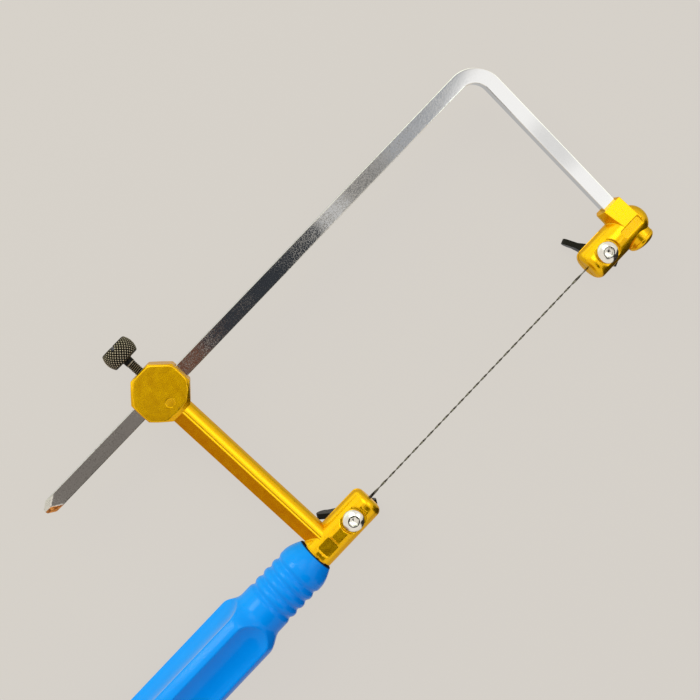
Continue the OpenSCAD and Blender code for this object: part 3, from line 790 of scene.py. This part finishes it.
# Turned rows from the socket's floor outward: a hexagon, whose radius is half its width over the cosine
# from the nearest side's middle, the mouth with its ring, a ball cap drawn in at its rim by a small round,
# and the thread
def makeClampScrew(name, node):
    size = screwSize
    low, high = sawBox(node)
    centre = (low + high) / 2
    headR, top = (high[0] - low[0]) / 2, size["headEdge"] + size["headDome"]
    angle = roundAngles(size["columns"])
    halfSide = math.pi / 6
    hexagon = size["socketAf"] / 2 / np.cos((angle + halfSide) % (2 * halfSide) - halfSide)
    mouthR = size["socketAf"] / 2 / math.cos(halfSide) + size["mouthRim"]
    lip, ring, seat = size["lip"], size["ring"], size["seatRound"]
    domeR = (headR ** 2 + size["headDome"] ** 2) / (2 * size["headDome"])
    out = np.linspace(mouthR + lip, headR, size["domeRows"])
    fall = size["edgeRound"] * np.clip((out - headR) / size["edgeRound"] + 1, 0, 1) ** 2
    dome = asColumns(out, top - domeR + np.sqrt(domeR ** 2 - out ** 2) - fall)
    shankLow, shankR = low[2] - high[2] + top, size["shankD"] / 2
    threadRows = int(-shankLow / size["threadPitch"] * size["rowsPerTurn"])
    thread = np.linspace(-size["threadGap"], shankLow + size["tipLen"], threadRows)[:, None]
    shank = threadRadius(thread, angle, shankR, size["threadDepth"], size["threadPitch"])
    bed, mouth = top - size["socketDepth"], top - size["mouthDepth"]
    radius = stackRows(
        size["columns"], size["coneR"], hexagon - lip, hexagon, hexagon + lip, mouthR - ring,
        mouthR - ring / 2, mouthR, mouthR + lip, dome[:, :1], headR, headR - seat, shankR, shank,
        shankR - size["tipIn"])
    run = stackRows(
        size["columns"], bed - size["coneDepth"], bed, mouth - lip, mouth, mouth + lip / 2, mouth - ring,
        top - size["mouthDepth"] / 2, dome[0, 1] + lip / 2, dome[:, 1:], seat, 0, 0, thread, shankLow)
    base = np.array([centre[0], centre[1], high[2] - top])
    screw = newObject(name, *tubeMesh(roundAxis(radius, angle, run, base, zAxis, xAxis)))
    # Painted shade: the ring round the socket's mouth is coloured dark, as that recess lies in shade
    paintedShade = np.zeros(radius.shape)
    ringRows = slice(5, 7)                          # the ring's floor and wall
    paintedShade[ringRows] = 1
    storeOnGrid(screw, "paintedShade", paintedShade)
    return screw


for place in ("lower", "upper"):
    node = place + "_screw"
    fit(makeClampScrew(place + "Screw", node), node, "bright_screw", screwSize["sharp"])


# Leg nut: a blind round cap turned to one smooth dome
capSize = dict(
    wall=0.6, boreD=4.1, boreEdge=0.2, seatEdge=0.15, fullness=2.6, domeRows=28, columns=96, sharp=40)


# Turned outline: the bore, the seat and a superellipse from the seat's edge to the middle of the end
def makeLegNut():
    size = capSize
    low, high = sawBox("leg_nut")
    radius, height = (high[0] - low[0]) / 2, high[1] - low[1]
    bore, power = size["boreD"] / 2, size["fullness"]
    seatEdge, boreEdge = size["seatEdge"], size["boreEdge"]
    turn = np.linspace(0, math.pi / 2, size["domeRows"])[:-1]
    dome = asColumns(radius * np.cos(turn) ** (2 / power),
                     seatEdge + (height - seatEdge) * np.sin(turn) ** (2 / power))
    inside = [[bore, height - size["wall"]], [bore, boreEdge], [bore + boreEdge, 0], [radius - seatEdge, 0]]
    outline = np.concatenate([inside, dome])
    angle = roundAngles(size["columns"])
    base = np.array([(low[0] + high[0]) / 2, high[1], (low[2] + high[2]) / 2])
    grid = roundAxis(outline[:, :1], angle, outline[:, 1:], base, -yAxis, xAxis)
    return newObject("legNut", *tubeMesh(grid))


fit(makeLegNut(), "leg_nut", "gold_casting", capSize["sharp"])


# Camera, at the photograph's place: saw millimetres and the image's right and down directions
cameraSize = dict(
    place=(45.42, 98.33, 367.34), right=(0.69009, -0.71224, 0.12842), down=(-0.72318, -0.68551, 0.08423),
    focalPixels=1050, imagePixels=700, sensor=36.0, nearest=0.01)
right = Vector(cameraSize["right"]).normalized()
up = -Vector(cameraSize["down"])
up = (up - right * up.dot(right)).normalized()
back = right.cross(up)
cameraPlace = Vector(sawOrigin + np.array(cameraSize["place"]) * mm)
camera = bpy.data.objects.new("camera", bpy.data.cameras.new("camera"))
camera.matrix_world = Matrix.Translation(cameraPlace) @ Matrix((right, up, back)).transposed().to_4x4()
camera.data.sensor_width = cameraSize["sensor"]
camera.data.lens = cameraSize["focalPixels"] / cameraSize["imagePixels"] * cameraSize["sensor"]
camera.data.clip_start = cameraSize["nearest"]
scene.collection.objects.link(camera)
scene.camera = camera


# Floor: plain pale sheet, mostly lit from within like a light table, so that shadows stay faint
floorSize = dict(half=40.0, colour="#D4CFC9", glow=0.95, roughness=0.9)
corners = np.array([[-1, -1], [1, -1], [1, 1], [-1, 1]]) * floorSize["half"]
floorMesh = bpy.data.meshes.new("floor")
floorMesh.from_pydata([(x, y, 0.0) for x, y in corners.tolist()], [], [[0, 1, 2, 3]])
floor = bpy.data.objects.new("floor", floorMesh)
scene.collection.objects.link(floor)
floorMaterial = bpy.data.materials.new("paleFloor")
floorMaterial.use_nodes = True
floorColour = toLinear(floorSize["colour"])
setInputs(floorMaterial.node_tree, floorMaterial.node_tree.nodes["Principled BSDF"], {
    "Base Color": [share * (1 - floorSize["glow"]) for share in floorColour[:3]] + [1.0],
    "Roughness": floorSize["roughness"],
    "Specular IOR Level": 0.0,
    "Emission Color": floorColour,
    "Emission Strength": floorSize["glow"],
})
floorMaterial.cycles.emission_sampling = "NONE"
floorMesh.materials.append(floorMaterial)
floor.visible_glossy = False
floor.visible_diffuse = False
floor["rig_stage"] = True


# Backdrop: a closed drum on the floor, in saw millimetres, that only the camera sees, so that low views
# show no gaps of the light tent
backdropSize = dict(radius=3000.0, top=5000.0, under=100.0, columns=96)
drumEnds = np.array([[-backdropSize["under"]], [backdropSize["top"]]])
drumTurn = roundAngles(backdropSize["columns"])
drum = roundAxis(backdropSize["radius"], drumTurn, drumEnds, np.zeros(3), zAxis, xAxis)
backdrop = newObject("backdrop", *tubeMesh(drum))
backdrop.data.materials.append(floorMaterial)
backdrop.visible_glossy = False
backdrop.visible_diffuse = False
backdrop.visible_shadow = False
backdrop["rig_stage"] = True


# Lamps, by direction from the saw in the camera's right, up and back: one for the plastic's shading, and one
# that is only seen mirrored in the grip
lamps = [
    dict(name="sideSoftbox", toward=(-0.6, 0.55, 0.6), distance=0.9, size=0.7, watts=8.4, colour="#FFFFB4"),
    dict(name="gripSoftbox", toward=(-0.68, 0.3, 0.67), distance=0.6, size=0.22, watts=0.9, colour="#F4FAFF"),
]


# Direction in the camera's right, up and back as one in the saw's frame
def fromCamera(toward):
    return (right * toward[0] + up * toward[1] + back * toward[2]).normalized()


def makeLamp(spec):
    lamp = bpy.data.lights.new(spec["name"], "AREA")
    lamp.size = spec["size"]
    lamp.energy = spec["watts"]
    lamp.color = toLinear(spec["colour"])[:3]
    holder = bpy.data.objects.new(spec["name"], lamp)
    way = fromCamera(spec["toward"])
    holder.location = Vector((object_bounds()[0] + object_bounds()[1]) / 2) + way * spec["distance"]
    holder.rotation_mode = "QUATERNION"
    holder.rotation_quaternion = way.to_track_quat("Z", "Y")
    scene.collection.objects.link(holder)
    return holder


sideSoftbox, gripSoftbox = [makeLamp(spec) for spec in lamps]
sideSoftbox.visible_glossy = False
gripSoftbox.visible_diffuse = False
gripOnly = bpy.data.collections.new("gripOnly")
gripOnly.objects.link(handle)
gripSoftbox.light_linking.receiver_collection = gripOnly

# Room: a pale light tent that the metal mirrors; each panel is a round patch, soft from its inner to its
# outer angle, and later ones lie over earlier ones
roomSize = dict(above="#F7F1E6", below="#D6CFC4", horizon=0.2)
panels = [                                          # direction, inner and outer angle, level, tint
    ((0.27, -0.45, 0.85), 13, 15, 0.03, "#FFF4EA"),         # dark side behind the camera
    ((0.34, -0.55, 0.76), 14, 18, 0.03, "#FFF4EA"),         # its lower end
    ((0.0, 0.47, 0.88), 10, 24, 2.6, "#F8FFF0"),            # overhead softbox
    ((0.66, 0.31, 0.68), 6, 18, 2.2, "#FAFFF0"),            # softbox on the right
    ((-0.76, 0.58, 0.22), 26, 45, 1.3, "#F6FFE4"),          # wide softbox on the left
    ((-0.42, 0.83, 0.15), 20, 34, 1.4, "#F4FFDE"),          # its upper part
    ((0.01, -0.27, 0.963), 4, 7, 0.23, "#FFF4EA"),          # grey side of the camera
    ((0.32, 0.05, 0.946), 2.5, 4.5, 0.5, "#F4F8FF"),        # dim seam beside the camera
    ((0.265, -0.01, 0.964), 0.8, 2.6, 0.26, "#FFFCF8"),     # darkest place of the seam
    ((0.24, -0.04, 0.97), 0.8, 1.5, 0.68, "#FFFFFF"),       # bright edge of the seam
    ((0.11, -0.178, 0.978), 1.5, 3.5, 0.17, "#FFB595"),     # brown grip of the camera
    ((0.173, -0.107, 0.979), 4.2, 4.8, 0.055, "#E0ECFF"),   # the camera's lens
    ((0.43, 0.03, 0.90), 5.5, 6.5, 1.2, "#FFFFFF"),         # small bright panel
    ((0.43, 0.03, 0.90), 0.6, 2.0, 0.92, "#FFFFFF"),        # its dimmer middle
    ((0.545, -0.07, 0.836), 4, 5.5, 2.0, "#F6FFF4"),        # its brighter end
    ((0.93, -0.25, -0.27), 27, 33, 0.03, "#FFF0DC"),        # gap in the tent, right
    ((0.90, -0.36, 0.20), 11, 14, 0.03, "#FFF0DC"),         # upper part of that gap
    ((-0.55, -0.83, 0.02), 14, 26, 0.40, "#FFC085"),        # warm gap below left
    ((-0.22, -0.10, -0.97), 18, 26, 0.55, "#FFFFFF"),       # shade under the saw
    ((0.62, 0.54, -0.57), 20, 35, 0.6, "#F6FFE4"),          # light from below on the right
    ((0.64, -0.25, -0.72), 14, 20, 0.03, "#FFF0DC"),        # lower part of the right gap
]
world = bpy.data.worlds.new("room")
world.use_nodes = True
scene.world = world
roomTree = world.node_tree
lookOut = addNode(roomTree, "ShaderNodeTexCoord").outputs["Generated"]
height = addNode(roomTree, "ShaderNodeSeparateXYZ", {"Vector": lookOut}).outputs["Z"]
rise = addSpan(roomTree, height, (-roomSize["horizon"], roomSize["horizon"]))
tone = addMix(roomTree, rise, roomSize["below"], roomSize["above"])
for toward, inner, outer, level, tint in panels:
    facing = addNode(roomTree, "ShaderNodeVectorMath", {
        0: lookOut, 1: fromCamera(toward)}, operation="DOT_PRODUCT").outputs["Value"]
    edge = math.cos(math.radians(outer)), math.cos(math.radians(inner))
    share = addSpan(roomTree, facing, edge, interpolation_type="SMOOTHSTEP")
    glow = [level * part for part in toLinear(tint)[:3]] + [1.0]
    tone = addMix(roomTree, share, tone, glow)
roomTree.links.new(tone, roomTree.nodes["Background"].inputs["Color"])
scene.view_settings.view_transform = "Standard"
print("camera, floor and lights set")
